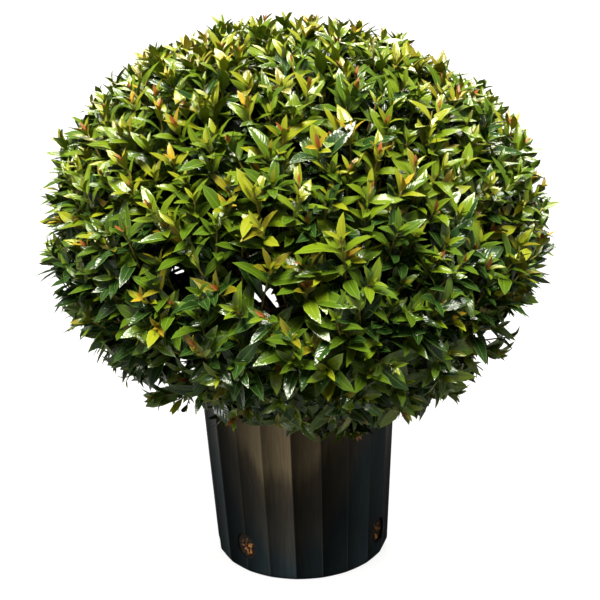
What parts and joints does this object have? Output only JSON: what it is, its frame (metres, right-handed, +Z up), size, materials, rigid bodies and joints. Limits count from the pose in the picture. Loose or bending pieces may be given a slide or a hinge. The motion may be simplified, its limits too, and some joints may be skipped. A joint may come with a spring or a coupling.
{
  "type": "potted topiary shrub",
  "caption": "Clipped evergreen globe of small glossy leaves on a short woody trunk, growing in a round fluted nursery pot with drain holes low in its wall.",
  "frame": {"origin": "centre of the pot's flat underside", "axes": "+Z up along the pot's axis, -Y towards the front of the picture, +X to its right"},
  "size_m": [0.644, 0.6397, 0.7233],
  "materials": {
    "pot": "black blow-moulded plastic with a soft sheen",
    "soil": "moist bark-based potting mix",
    "bark": "finely cracked grey-brown bark",
    "foliage": "glossy leaves, deep green to yellow-green with coppery young tips"
  },
  "bodies": {
    "root": {"pot": "pot", "soil": "soil", "trunk": "bark", "bough_top": "bark", "bough_upper_1": "bark", "bough_upper_2": "bark", "bough_upper_3": "bark", "bough_upper_4": "bark", "bough_upper_5": "bark", "bough_lower_1": "bark", "bough_lower_2": "bark", "bough_lower_3": "bark", "bough_lower_4": "bark", "bough_lower_5": "bark", "foliage_top": "foliage", "foliage_upper_1": "foliage", "foliage_upper_2": "foliage", "foliage_upper_3": "foliage", "foliage_upper_4": "foliage", "foliage_upper_5": "foliage", "foliage_lower_1": "foliage", "foliage_lower_2": "foliage", "foliage_lower_3": "foliage", "foliage_lower_4": "foliage", "foliage_lower_5": "foliage"}
  },
  "joints": []
}
